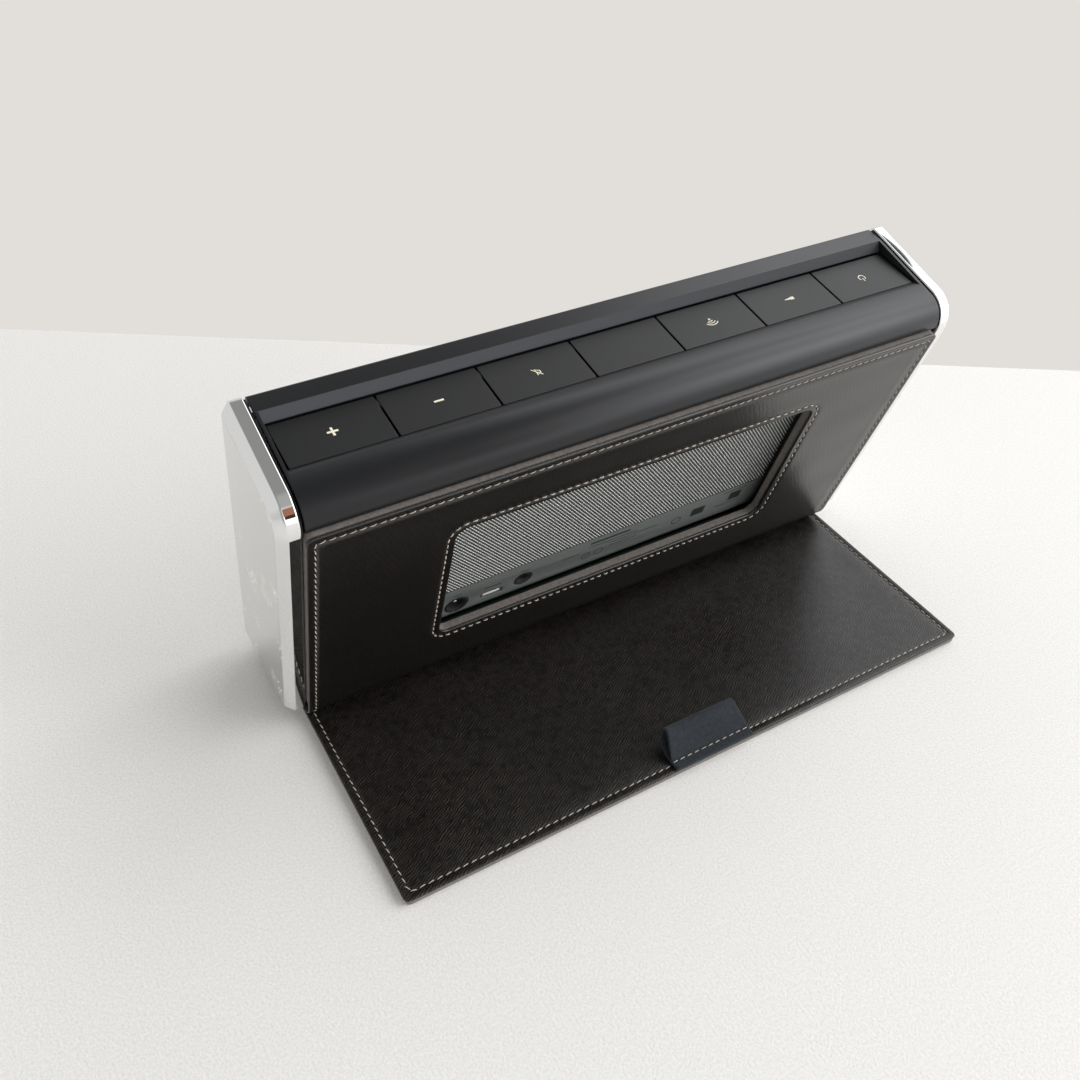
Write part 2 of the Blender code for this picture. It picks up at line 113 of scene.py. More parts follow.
class Look:
    """A Principled material whose colour, roughness and bump are built from its own nodes."""

    def __init__(self, name, colour, roughness, metallic=0.0, **sockets):
        self.material = bpy.data.materials.new(name)
        self.material.use_nodes = True
        self.nodes = self.material.node_tree.nodes
        self.links = self.material.node_tree.links
        self.shader = self.nodes["Principled BSDF"]
        sockets.update(Base_Color=(*colour, 1.0), Roughness=roughness, Metallic=metallic)
        set_sockets(self.shader, sockets)
        self.place = self.node("TexCoord").outputs["Object"]
        self.relief = None

    def node(self, kind, **inputs):
        """A new shader node with numbers set on its sockets."""
        made = self.nodes.new("ShaderNode" + kind)
        set_sockets(made, inputs)
        return made

    def mapped(self, stretch=(1, 1, 1), turn=(0, 0, 0)):
        """Object coordinates turned, then scaled along the turned axes."""
        mapping = self.node("Mapping", Rotation=turn, Scale=[1 / s for s in stretch])
        mapping.vector_type = "TEXTURE"
        self.links.new(self.place, mapping.inputs["Vector"])
        return mapping.outputs["Vector"]

    def noise(self, scale, detail=3.0, roughness=0.55, stretch=(1, 1, 1), turn=(0, 0, 0)):
        made = self.node("TexNoise", Scale=scale, Detail=detail, Roughness=roughness)
        self.links.new(self.mapped(stretch, turn), made.inputs["Vector"])
        return made.outputs["Fac"]

    def cells(self, scale):
        """The distance to the nearest of many scattered points."""
        made = self.node("TexVoronoi", Scale=scale)
        self.links.new(self.mapped(), made.inputs["Vector"])
        return made.outputs["Distance"]

    def waves(self, pitch, turn):
        """Meandering lines this many millimetres apart, square to the turned X axis."""
        scale = 2 * pi / 20 / (pitch * MM)  # a wave texture counts 20 radians to its unit
        bends = {"Distortion": 7.0, "Detail": 2.0, "Detail_Scale": 0.8, "Detail_Roughness": 0.6}
        made = self.node("TexWave", Scale=scale, **bends)
        self.links.new(self.mapped(turn=(0, 0, turn)), made.inputs["Vector"])
        return made.outputs["Fac"]

    def math(self, operation, first, second):
        made = self.node("Math")
        made.operation = operation
        self.links.new(first, made.inputs[0])
        self.links.new(second, made.inputs[1])
        return made.outputs[0]

    def span(self, value, low, high, to_low=0.0, to_high=1.0):
        made = self.node("MapRange", From_Min=low, From_Max=high, To_Min=to_low, To_Max=to_high)
        self.links.new(value, made.inputs["Value"])
        return made.outputs["Result"]

    def tint(self, factor, low, high):
        """The colour runs from low to high with the factor."""
        ramp = self.node("ValToRGB")
        ramp.color_ramp.elements[0].color = (*low, 1.0)
        ramp.color_ramp.elements[1].color = (*high, 1.0)
        self.links.new(factor, ramp.inputs["Fac"])
        self.links.new(ramp.outputs["Color"], self.shader.inputs["Base Color"])
        return self

    def gloss(self, factor, low, high):
        """The roughness runs from low to high with the factor."""
        self.links.new(self.span(factor, 0.0, 1.0, low, high), self.shader.inputs["Roughness"])
        return self

    def bump(self, height, size):
        """Relief of this size in millimetres, laid over any that was added before."""
        made = self.node("Bump", Distance=size * MM)
        self.links.new(height, made.inputs["Height"])
        if self.relief is not None:
            self.links.new(self.relief, made.inputs["Normal"])
        self.relief = made.outputs["Normal"]
        self.links.new(self.relief, self.shader.inputs["Normal"])


def leather_look(name, colour, highlight_and_tone, grain, relief, roughness, shine):
    """Leather with fine meandering creases, pores and a slow change of shade; the crests of the creases are
    painted lighter, a painted highlight.
    """
    look = Look(name, colour, roughness, Specular_IOR_Level=shine)
    folds = look.waves(grain, radians(120))
    crest = look.span(folds, 0.6, 0.95)
    slow = look.noise(26, 4.0)
    pores = look.noise(420 / grain, 2.0)
    broken = look.math("MULTIPLY", crest, look.span(pores, 0.25, 0.6))
    look.bump(folds, relief)
    look.bump(pores, relief * 0.5)
    # painted highlight: the crests of the creases, broken by the pores, are tinted toward the lighter colour
    shade = look.math("MULTIPLY", broken, look.span(slow, 0.25, 0.6, 0.7, 1.0))
    look.tint(shade, colour, highlight_and_tone)
    return look.gloss(slow, roughness - 0.05, roughness + 0.05)


def plastic_look(name, colour, roughness, relief=0.006, shade=1.25, shine=0.5):
    """Moulded plastic with a fine spark-eroded texture."""
    look = Look(name, colour, roughness, Specular_IOR_Level=shine)
    grain = look.noise(3200, 2.0)
    cloud = look.noise(40, 3.0)
    look.bump(grain, relief)
    look.tint(cloud, colour, tuple(v * shade for v in colour))
    return look.gloss(cloud, roughness - 0.03, roughness + 0.04)


def metal_look(name, colour, roughness, metallic=1.0):
    """Metal with faint hairlines and handling marks."""
    look = Look(name, colour, roughness, metallic)
    lines = look.noise(900, 2.0, stretch=(1, 1, 0.05))
    cloud = look.noise(60, 4.0)
    look.bump(lines, 0.002)
    return look.gloss(cloud, roughness * 0.8, roughness * 1.25)


def chrome_look():
    """Bright, clean plating."""
    look = Look("chrome plating", (0.84, 0.84, 0.83), 0.04, 1.0)
    cloud = look.noise(14, 2.0)
    return look.gloss(cloud, 0.03, 0.05)


def scuffed_look():
    """The caps' flat outer faces: plating under a light haze with short scuffs."""
    plain, bare = (0.69, 0.685, 0.67), (0.93, 0.93, 0.92)
    look = Look("scuffed plating", plain, 0.2, 1.0)
    marks = None
    for tilt in (34, -41):
        lines = look.noise(1300, 0.0, 0.4, stretch=(1, 1, 0.14), turn=(radians(tilt), 0, 0))
        patches = look.noise(52, 2.0)
        both = look.math("MULTIPLY", lines, look.span(patches, 0.45, 0.6))
        sharp = look.span(both, 0.6, 0.66)
        marks = sharp if marks is None else look.math("MAXIMUM", marks, sharp)
    look.tint(marks, plain, bare)
    return look.gloss(marks, 0.16, 0.4)


def fabric_look(name, colour, highlight_and_tone, pitch, relief, roughness=0.9, sheen=0.25):
    """Short-napped cloth: crossed threads under a soft, uneven nap."""
    look = Look(name, colour, roughness, Sheen_Weight=sheen, Sheen_Roughness=0.5)
    weave = look.cells(1 / (pitch * MM))
    nap = look.noise(700, 4.0, 0.7)
    look.bump(weave, relief)
    look.bump(nap, relief * 1.4)
    return look.tint(look.span(nap, 0.3, 0.7), colour, highlight_and_tone)


LOOKS = {
    # the second colour of each leather is a painted highlight on its grain's crests, faint on the panel and
    # strong on the flap
    "panel": leather_look("panel leather", linear(13, 10, 8), linear(26, 21, 18), 0.9, 0.012, 0.3, 0.7),
    "flap": leather_look("flap leather", linear(7, 5, 4), linear(76, 70, 66), 0.84, 0.026, 0.3, 0.42),
    "lining": fabric_look("taupe lining", linear(92, 87, 82), linear(120, 113, 106), 0.5, 0.03),
    "suede": fabric_look("slate suede", linear(25, 30, 35), linear(42, 48, 55), 0.5, 0.12, 0.95, 0.1),
    "thread": fabric_look("cream thread", linear(168, 156, 142), linear(216, 206, 192), 0.3, 0.05, 0.75, 0.1),
    "chrome": chrome_look(),
    "scuffed": scuffed_look(),
    "shell": plastic_look("charcoal shell", linear(18, 19, 22), 0.37, shine=0.43),
    "key": plastic_look("key cap", linear(5, 6, 7), 0.44, 0.004, shine=0.52),
    "slot": plastic_look("slot wall", linear(56, 58, 61), 0.4),
    "icon": plastic_look("cream print", linear(226, 220, 196), 0.5, 0.001),
    "mesh": metal_look("silver mesh", linear(232, 233, 228), 0.42, metallic=0.35),
    "mesh_dark": plastic_look("mesh ground", linear(58, 59, 58), 0.6),
    "strip": plastic_look("grey strip", linear(94, 98, 95), 0.5, 0.004, 1.12),
    "print": plastic_look("dark print", linear(22, 24, 24), 0.6, 0.001),
    "steel": metal_look("steel", (0.62, 0.62, 0.61), 0.3),
    # near-white diffuse colour for the USB tongue: a painted highlight in place of the glint on the socket's
    # metal
    "contact": plastic_look("contact with painted highlight", linear(236, 236, 230), 0.35, 0.002, 1.0),
    "rubber": plastic_look("black rubber", linear(18, 18, 19), 0.7, 0.01),
    "board": plastic_look("circuit board", (0.01, 0.09, 0.035), 0.35, 0.02),
    "cell": plastic_look("cell wrap", (0.02, 0.05, 0.16), 0.3, 0.004),
    "paper": fabric_look("cone paper", linear(34, 33, 32), linear(50, 49, 47), 0.6, 0.05, 0.8),
}
# the record's slots that don't have the name of their look
SLOT_LOOKS = {
    "leather": "panel",
    "grille": "mesh",
    "connector_strip": "strip",
    "circuit_board": "board",
    "cell_wrap": "cell",
    "cone_paper": "paper",
}


def dress_frame():
    """Each CAD node that stays gets the look of its record slot."""
    for row in frame["record"]["subparts"]:
        slot = row["material_slot"]
        mesh = frame["nodes"][row["node"]].data
        mesh.materials.clear()
        mesh.materials.append(LOOKS[SLOT_LOOKS.get(slot, slot)].material)


# ---------------------------------------------------------------- meshes


def linked(name, data):
    """A new object in the scene."""
    made = bpy.data.objects.new(name, data)
    bpy.context.scene.collection.objects.link(made)
    return made


def solid_object(name, points, faces):
    """An object from points in millimetres: coincident points merged, normals out."""
    mesh = bpy.data.meshes.new(name)
    mesh.from_pydata((np.asarray(points) * MM).tolist(), [], faces)
    shape = bmesh.new()
    shape.from_mesh(mesh)
    bmesh.ops.remove_doubles(shape, verts=shape.verts, dist=1e-7)
    bmesh.ops.recalc_face_normals(shape, faces=shape.faces)
    if shape.calc_volume(signed=True) < 0:
        bmesh.ops.reverse_faces(shape, faces=shape.faces)
    shape.to_mesh(mesh)
    shape.free()
    return linked(name, mesh)


def new_piece(name, points, faces, look, slot, body=SPEAKER, replaced=(), leaning=True, sharp=38):
    """A piece from points in millimetres, with its normals out and its sharp edges kept."""
    if leaning:
        points = stand(points)
    made = solid_object(name, points, faces)
    finish_mesh(made, look, sharp)
    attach(made, body)
    if replaced:
        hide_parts(*replaced)
    return made


def finish_mesh(made, look, sharp):
    made.data.materials.clear()
    made.data.materials.append(LOOKS[look].material)
    made.data.shade_smooth()
    made.data.set_sharp_from_angle(angle=radians(sharp))


def bake(made, look, sharp=38):
    """Apply the piece's modifiers."""
    depsgraph = bpy.context.evaluated_depsgraph_get()
    mesh = bpy.data.meshes.new_from_object(made.evaluated_get(depsgraph))
    made.modifiers.clear()
    made.data = mesh
    finish_mesh(made, look, sharp)


def soften(made, look, width, angle):
    """Round the piece's edges that turn by more than the angle."""
    bevel = made.modifiers.new("soften", "BEVEL")
    bevel.width = width * MM
    bevel.segments = 2
    bevel.limit_method = "ANGLE"
    bevel.angle_limit = radians(angle)
    bevel.use_clamp_overlap = True
    bake(made, look)


def arc(centre, radius, first, last, segments):
    angles = np.linspace(first, last, segments + 1)
    return np.column_stack([centre[0] + radius * np.cos(angles), centre[1] + radius * np.sin(angles)])


def rounded(corners, segments=8):
    """An outline through (u, v, radius) corners, with each radius as an arc."""
    points = []
    for i, (u, v, radius) in enumerate(corners):
        corner = Vector((u, v))
        if not radius:
            points.append(np.array([[u, v]]))
            continue
        before = (Vector(corners[i - 1][:2]) - corner).normalized()
        after = (Vector(corners[(i + 1) % len(corners)][:2]) - corner).normalized()
        half = before.angle(after) / 2
        centre = corner + (before + after).normalized() * radius / sin(half)
        start = corner + before * radius / tan(half) - centre
        end = corner + after * radius / tan(half) - centre
        first = atan2(start.y, start.x)
        sweep = (atan2(end.y, end.x) - first + pi) % (2 * pi) - pi
        points.append(arc(centre, radius, first, first + sweep, segments))
    return np.vstack(points)


def box_outline(u_low, u_high, v_low, v_high, radius, segments=8, top_radius=None):
    """A rectangle's outline with round corners, and its own radius at the top if given."""
    top = radius if top_radius is None else top_radius
    corners = [(u_low, v_low, radius), (u_high, v_low, radius), (u_high, v_high, top), (u_low, v_high, top)]
    return rounded(corners, segments)


def centred_outline(u, v, half_u, half_v, radius, segments=8):
    return box_outline(u - half_u, u + half_u, v - half_v, v + half_v, radius, segments)


def along_x(outline, x):
    """A (y, z) outline at this x."""
    return np.column_stack([np.full(len(outline), x), outline])


def along_y(outline, y):
    """An (x, z) outline at this y."""
    return np.column_stack([outline[:, 0], np.full(len(outline), y), outline[:, 1]])


def along_z(outline, z):
    """An (x, y) outline at this z."""
    return np.column_stack([outline, np.full(len(outline), z)])


def side_faces(loops, pairs):
    """Quads between each pair of loops of equal length."""
    count = len(loops[0])
    faces = []
    for a, b in pairs:
        for i in range(count):
            j = (i + 1) % count
            faces.append((a * count + i, a * count + j, b * count + j, b * count + i))
    return faces


def loft(loops):
    """Points and faces of a closed solid through loops of equal length."""
    count = len(loops[0])
    faces = side_faces(loops, [(k, k + 1) for k in range(len(loops) - 1)])
    last = (len(loops) - 1) * count
    faces.append(tuple(range(count - 1, -1, -1)))
    faces.append(tuple(range(last, last + count)))
    return np.vstack(loops), faces


def ring_loft(loops):
    """Points and faces of a solid like a tyre: the last loop joins the first."""
    return np.vstack(loops), side_faces(loops, [(k, (k + 1) % len(loops)) for k in range(len(loops))])


def cutter(name, points, faces):
    return solid_object(name, stand(points), faces)


def cut_away(made, look, *tools):
    """Cut the tools' shapes out of the piece, and remove the tools."""
    for tool in tools:
        modifier = made.modifiers.new(tool.name, "BOOLEAN")
        modifier.operation = "DIFFERENCE"
        modifier.object = tool
    bake(made, look)
    for tool in tools:
        bpy.data.objects.remove(tool)


class RoundRect:
    """A rectangle with round corners, in two coordinates."""

    def __init__(self, u_low, u_high, v_low, v_high, radius):
        self.low = np.array([u_low, v_low], float)
        self.high = np.array([u_high, v_high], float)
        self.radius = radius

    def depth(self, points):
        """How far inside the edge each point lies."""
        centre, half = (self.low + self.high) / 2, (self.high - self.low) / 2
        beyond = np.abs(points - centre) - (half - self.radius)
        outside = np.linalg.norm(np.maximum(beyond, 0), axis=1)
        return self.radius - outside - np.minimum(beyond.max(axis=1), 0)

    def loop(self, inset=0.0, spacing=1.2):
        """Evenly spaced points along the edge, moved inwards by the inset."""
        radius = max(self.radius - inset, 0.15)
        (u0, v0), (u1, v1) = self.low + inset, self.high - inset
        return resampled(box_outline(u0, u1, v0, v1, radius, 16), spacing)


def resampled(points, spacing, closed=True):
    """Points at even steps along a line."""
    line = np.vstack([points, points[:1]]) if closed else np.asarray(points, float)
    steps = np.r_[0, np.cumsum(np.linalg.norm(np.diff(line, axis=0), axis=1))]
    count = max(int(round(steps[-1] / spacing)), 3)
    at = np.linspace(0, steps[-1], count, endpoint=not closed)
    return np.column_stack([np.interp(at, steps, line[:, k]) for k in range(line.shape[1])])


def edge_round(depth, radius):
    """How far a surface lies under its flat level at this depth inside a rounded edge."""
    inside = np.clip(radius - depth, 0, radius)
    return radius - np.sqrt(np.maximum(radius**2 - inside**2, 0))


def soft_edge(radius):
    """The relief of a flat board with rounded edges."""
    return lambda _, depth: -edge_round(depth, radius)


def ripple(points, seed, lengths, size):
    """Slow, smooth waves over two coordinates, at most about this size."""
    random = np.random.default_rng(seed)
    total = np.zeros(len(points))
    for length in lengths:
        for _ in range(4):
            turn, phase = random.uniform(0, 2 * pi, 2)
            wave = points @ np.array([cos(turn), sin(turn)]) * 2 * pi / length + phase
            total += np.sin(wave)
    return total * size / (4 * len(lengths)) * 1.6


def sheet_solid(outer, holes, height, thickness, placed, spacing, rims, edge_spacing=1.3):
    """Points and faces of a sheet with holes: a fine relief above and a flat face below.

    height(points, depth) is the upper face's level, and placed(points, levels) puts the
    sheet's own two coordinates and its level into space.
    """
    loops = [outer.loop(inset, edge_spacing) for inset in rims]
    loops += [hole.loop(-inset, edge_spacing) for hole in holes for inset in rims]
    points = list(np.vstack(loops))
    edges, start = [], 0
    for loop in loops:
        edges += [(start + i, start + (i + 1) % len(loop)) for i in range(len(loop))]
        start += len(loop)

    def depth_of(at):
        return np.minimum.reduce([outer.depth(at)] + [-hole.depth(at) for hole in holes])

    u, v = [np.arange(a + spacing / 2, b, spacing) for a, b in zip(outer.low, outer.high)]
    grid = np.array(np.meshgrid(u, v)).reshape(2, -1).T
    grid[:, 0] += np.where(np.round(grid[:, 1] / spacing).astype(int) % 2, spacing / 4, -spacing / 4)
    grid = grid[depth_of(grid) > max(rims) + spacing * 0.6]
    points = np.vstack([np.array(points), grid])
    flat, _, triangles, *_ = delaunay_2d_cdt([Vector(p) for p in points], edges, [], 0, 1e-5)
    flat = np.array([tuple(p) for p in flat])
    triangles = np.array(triangles)
    triangles = triangles[depth_of(flat[triangles].mean(axis=1)) > 1e-4]
    used, index = np.unique(triangles, return_inverse=True)
    flat, triangles = flat[used], index.reshape(-1, 3)
    upper = placed(flat, height(flat, depth_of(flat)))
    lower = placed(flat, np.full(len(flat), -thickness))
    count = len(flat)
    pairs = np.concatenate([triangles[:, [0, 1]], triangles[:, [1, 2]], triangles[:, [2, 0]]])
    _, first, uses = np.unique(np.sort(pairs, axis=1), axis=0, return_index=True, return_counts=True)
    rim = pairs[first[uses == 1]]
    faces = [tuple(t) for t in triangles.tolist()]
    faces += [(a + count, c + count, b + count) for a, b, c in triangles.tolist()]
    faces += [(b, a, a + count, b + count) for a, b in rim.tolist()]
    return np.vstack([upper, lower]), faces


def stitch_solids(line, placed, level, length=2.15, radius=0.165, slant=0.17):
    """Thread stitches along a line of points one pitch apart, sunk into the leather."""
    along = np.linspace(-1, 1, 7)
    girth = np.sqrt(np.maximum(1 - along**6, 0.03))
    angles = np.linspace(0, 2 * pi, 8, endpoint=False)
    end_dip = 0.22  # how far a stitch's ends go down into their holes
    solids = []
    for k, centre in enumerate(line):
        ahead = line[(k + 1) % len(line)] - line[k - 1]
        ahead = ahead / (np.linalg.norm(ahead) or 1)
        across = np.array([-ahead[1], ahead[0]])
        direction = ahead * cos(slant) + across * sin(slant)
        side = np.array([-direction[1], direction[0]])
        loops = []
        for a, g in zip(along, girth):
            middle = centre + direction * a * length / 2
            flat = middle + side * (np.cos(angles) * radius * g)[:, None]
            levels = level - end_dip * abs(a) ** 3 + np.sin(angles) * radius * 0.8 * g
            loops.append(placed(flat, levels))
        solids.append(loft(loops))
    return merged(solids)


def groove(distance, width, depth):
    """A soft furrow of this depth where the distance from its line is 0."""
    return depth * np.exp(-((distance / width) ** 2))


def merged(solids):
    """Several (points, faces) pairs as one."""
    points, faces, start = [], [], 0
    for some_points, some_faces in solids:
        points.append(some_points)
        faces += [tuple(start + i for i in face) for face in some_faces]
        start += len(some_points)
    return np.vstack(points), faces


# ---------------------------------------------------------------- end caps and shells


def cap_outline(box, inset):
    """The end caps' profile, whose lower edge is level as the speaker stands."""
    back, front = box[1][1] - inset, box[0][1] + inset
    top = box[1][2] - inset
    floor = CAP_BOTTOM + inset
    radii = [max(r - inset, 0.5) for r in (4.0, 10.0, 2.5, 2.0)]
    corners = [
        (back, (floor + back * SINE) / COSINE, radii[0]),
        (back, top, radii[1]),
        (front, top, radii[2]),
        (front, (floor + front * SINE) / COSINE, radii[3]),
    ]
    return rounded(corners, 14)


def make_caps():
    """Chrome end caps: a narrow band, a broad flat bevel and a flat outer face."""
    for word, side in (("left", 1), ("right", -1)):
        node = "end_cap_" + word
        box = lean_box(node)
        inner, outer = sorted(abs(v) for v in (box[0][0], box[1][0]))
        bevel = 2.85
        rim = outer - bevel
        sections = [
            (inner, 0.35), (inner + 0.1, 0.1), (inner + 0.35, 0.0), (inner + 0.6, 0.0),
            (rim - 0.45, 0.0), (rim - 0.2, 0.01), (rim, 0.06), (rim + 0.18, 0.18), (rim + 0.4, 0.4),
            (outer - 0.5, bevel - 0.5), (outer - 0.26, bevel - 0.26), (outer - 0.08, bevel - 0.02),
            (outer - 0.01, bevel + 0.28), (outer, bevel + 0.6), (outer, bevel + 1.1),
        ]
        loops = [along_x(cap_outline(box, inset), side * x) for x, inset in sections]
        cap = new_piece(node + "_shell", *loft(loops), "chrome", "chrome", replaced=[node], sharp=50)
        cap.data.materials.append(LOOKS["scuffed"].material)
        for face in cap.data.polygons:
            if face.normal.x * side > 0.95:
                face.material_index = 1


def make_top_shell():
    """The moulded top with the slot for the keys, its rounded back and its small lip."""
    low, high = lean_box("top_shell")
    front, top, back = low[1] - 0.35, high[2] + 0.15, high[1]
    ledge, lip, wall = 114.3, 119.0, 2.0
    corners = [
        (front, lip, 0.4), (front, top - 0.9, 1.4), (-37.2, top, 0.8), (back, top, 8.2),
        (back, ledge, 0.4), (back - wall, ledge, 0), (back - wall, top - wall, 6.2),
        (-14.0, top - wall, 0), (-14.5, low[2] + 0.6, 0), (-36.8, low[2] + 0.6, 0),
        (-36.8, top - 1.6, 0), (front + wall, top - 1.6, 0.5), (front + wall, lip, 0),
    ]
    outline = rounded(corners, 16)
    solid = loft([along_x(outline, x) for x in (-high[0], high[0])])
    shell = new_piece("shell_skin", *solid, "shell", "shell", replaced=["top_shell"])
    slot_front, slot_back, slot_floor, slot_half = -35.05, -16.32, 116.6, 113.2
    corners = [
        (-37.0, top + 1.5, 0), (-37.0, top - 0.1, 0), (slot_front, 119.5, 0.5),
        (slot_front, slot_floor, 0), (slot_back, slot_floor, 0), (slot_back, 121.82, 0),
        (-13.7, top + 0.1, 0), (-13.7, top + 1.5, 0),
    ]
    outline = rounded(corners, 4)
    slot = cutter("slot_cutter", *loft([along_x(outline, x) for x in (-slot_half, slot_half)]))
    cut_away(shell, "shell", slot)
    soften(shell, "shell", 0.18, 30)
    shell.data.materials.append(LOOKS["slot"].material)
    for face in shell.data.polygons:
        centre = lean(np.array([face.center]) / MM)[0]
        front_wall = -37.1 < centre[1] < slot_front + 0.15 and centre[2] > 119.0
        if front_wall and abs(centre[0]) < slot_half - 0.1:
            face.material_index = 1


def make_key_icons():
    """Each key's mark as outlines in the key's own plane, read from the front."""

    def bar(u, v, width, height, turn=0.0):
        corners = np.array([(-1, -1), (1, -1), (1, 1), (-1, 1)]) * (width / 2, height / 2)
        spin = np.array([[cos(turn), sin(turn)], [-sin(turn), cos(turn)]])
        return corners @ spin + (u, v)

    def band(radius, width, first, last, centre=(0, 0)):
        outer = arc(centre, radius + width / 2, radians(first), radians(last), 20)
        inner = arc(centre, radius - width / 2, radians(last), radians(first), 20)
        return np.vstack([outer, inner])

    speaker = [bar(-1.15, 0, 0.35, 1.3), bar(-0.7, 0.62, 0.9, 0.3, radians(35))]
    speaker += [bar(-0.7, -0.62, 0.9, 0.3, radians(-35)), bar(0.1, 0.0, 0.35, 2.6)]
    speaker += [bar(-0.05, 0.0, 4.0, 0.32, radians(-48))]
    plug = [bar(-1.2, 0, 1.5, 1.3), bar(0.15, 0, 1.2, 0.7), bar(1.25, 0, 1.0, 0.42)]
    waves = [band(r, 0.34, 40, 140, (0, -1.2)) for r in (1.05, 1.95, 2.85)]
    waves.append(band(0.2, 0.38, 0, 350, (0, -1.2)))
    return {
        "key_plus": [bar(0, 0, 3.3, 0.72), bar(0, 1.02, 0.72, 1.28), bar(0, -1.02, 0.72, 1.28)],
        "key_minus": [bar(0, 0, 3.1, 0.72)],
        "key_mute": speaker,
        "key_wireless": waves,
        "key_aux": plug,
        "key_power": [band(1.25, 0.34, 135, 405), bar(0, 1.05, 0.32, 1.5)],
    }


def make_keys():
    """Soft-edged key tiles in the slot, each with its printed mark."""
    icons = make_key_icons()
    front, back = (-33.9, 119.8), (-16.5, 121.9)
    slope = atan2(back[1] - front[1], back[0] - front[0])
    length = hypot(back[1] - front[1], back[0] - front[0])
    middle = ((front[0] + back[0]) / 2, (front[1] + back[1]) / 2)
    thick, half = 1.6, 31.5 / 2

    def deck(points, x):
        """Key-plane points in the leaning frame."""
        u, v, h = np.asarray(points, float).T
        y = middle[0] + v * cos(slope) - h * sin(slope)
        z = middle[1] + v * sin(slope) + h * cos(slope)
        return np.column_stack([u + x, y, z])

    sections = [(-thick, 0.7), (-thick + 0.3, 0.5), (-0.8, 0.25), (-0.3, 0.03), (-0.12, 0.0)]
    sections += [(-0.05, 0.02), (-0.015, 0.06), (0.0, 0.13), (0.0, 0.3), (0.0, 0.7)]
    for node in [*icons, "indicator_tile"]:
        body = node[4:] + "_key" if node in icons else SPEAKER
        box = lean_box(node)
        x = (box[0][0] + box[1][0]) / 2
        loops = []
        for level, inset in sections:
            outline = centred_outline(0, 0, half - inset, length / 2 - inset, 0.4, 4)
            loops.append(deck(along_z(outline, level), x))
        new_piece(node + "_cap", *loft(loops), "key", "key", body, replaced=[node], sharp=60)
        if node not in icons:
            continue
        solids = []
        for outline in icons[node]:
            shifted = outline + (0, 0.1)
            solids.append(loft([deck(along_z(shifted, h), x) for h in (-0.1, 0.025)]))
        new_piece(node + "_mark", *merged(solids), "icon", "key", body)


# ---------------------------------------------------------------- leather cover


class Bend:
    """The cover's rear panel, bend and spine as one developed strip.

    A point's second coordinate runs from the panel's upper edge down, round the bend and
    forward under the body, and its level is its height over the outer face.
    """

    def __init__(self):
        forward, below = stand_box("cover_leather")[0][1:]
        self.top = lean_box("cover_leather")[1][2]
        self.face = 1.9
        self.radius = 9.5
        centre_y = self.face - self.radius
        rise = below + self.radius
        self.centre = np.array([centre_y, (rise + centre_y * SINE) / COSINE])
        self.straight = self.top - self.centre[1]
        self.sweep = pi / 2 - LEAN
        self.arc_end = self.straight + self.radius * self.sweep
        end = self.centre + self.radius * np.array([cos(self.sweep), -sin(self.sweep)])
        lip = lean([[0, forward, below]])[0, 1:]
        self.length = self.arc_end + np.linalg.norm(lip - end)

    def placed(self, points, levels):
        x, v = points.T
        h = np.broadcast_to(levels, v.shape)
        angle = -np.clip((v - self.straight) / self.radius, 0, self.sweep)
        reach = self.radius + h
        y = self.centre[0] + reach * np.cos(angle)
        z = self.centre[1] + reach * np.sin(angle)
        z = z + np.maximum(self.straight - v, 0)
        past = np.maximum(v - self.arc_end, 0)
        return np.column_stack([x, y - past * COSINE, z - past * SINE])


def window_rect(bend, grow=0.0):
    """The cover's window in the developed strip's coordinates."""
    half, low, high, radius = 68.4, 31.2, 93.4, 4.2
    return RoundRect(-half - grow, half + grow, bend.top - high - grow, bend.top - low + grow, radius + grow)


def make_cover():
    bend = Bend()
    left, right = 115.1, -113.9  # the leather sits a little toward the left cap
    outer = RoundRect(right, left, 0.0, bend.length, 2.2)
    window = window_rect(bend)

    def relief(points, depth):
        along_edge = outer.depth(points)
        around_window = -window.depth(points)
        level = -edge_round(along_edge, 0.4) - edge_round(around_window, 0.5)
        level -= groove(along_edge - STITCH_INSET, 0.75, 0.3)
        level -= groove(around_window - STITCH_INSET, 0.75, 0.3)
        level += groove(along_edge - STITCH_INSET - 1.7, 1.0, 0.12)
        swell = np.clip(depth / 8, 0, 1)
        level += ripple(points, 3, (70, 38, 22), 0.12) * swell - 0.1 * swell
        return level

    rims = [0, 0.05, 0.15, 0.32, 0.6, 1.0, 1.5, 2.0, 2.3, 2.6, 2.9, 3.3, 4.0]
    points, faces = sheet_solid(outer, [window], relief, LEATHER, bend.placed, 2.2, rims)
    skin = new_piece("cover_skin", points, faces, "panel", "leather", replaced=["cover_leather"], sharp=70)

    line = outer.loop(STITCH_INSET, STITCH_PITCH)
    line = line[line[:, 1] < bend.length - 6]
    solids = [stitch_solids(line, bend.placed, -0.02)]
    ring = window.loop(-STITCH_INSET, STITCH_PITCH)
    solids.append(stitch_solids(ring, bend.placed, 0.0, 1.8, 0.24, -0.06))
    stitches = new_piece("cover_stitches", *merged(solids), "thread", "leather", sharp=80)

    low, high = lean_box("panel_board")
    edge = 0.15  # from the leather's ends to the board's
    board = RoundRect(right + edge, left - edge, low[2], bend.top - edge, 2.0)
    hole = window_rect(bend, edge)
    hole = RoundRect(hole.low[0], hole.high[0], bend.top - hole.high[1], bend.top - hole.low[1], hole.radius)
    face = bend.face - LEATHER - LAYER_GAP

    def flat_board(points, levels):
        return along_y(points, levels + face)

    thick = face - low[1] - 0.5
    rims = [0, 0.08, 0.22, 0.4, 1.5]
    solid = sheet_solid(board, [hole], soft_edge(0.4), thick, flat_board, 7.0, rims)
    new_piece("panel_core", *solid, "lining", "lining", replaced=["panel_board"], sharp=60)


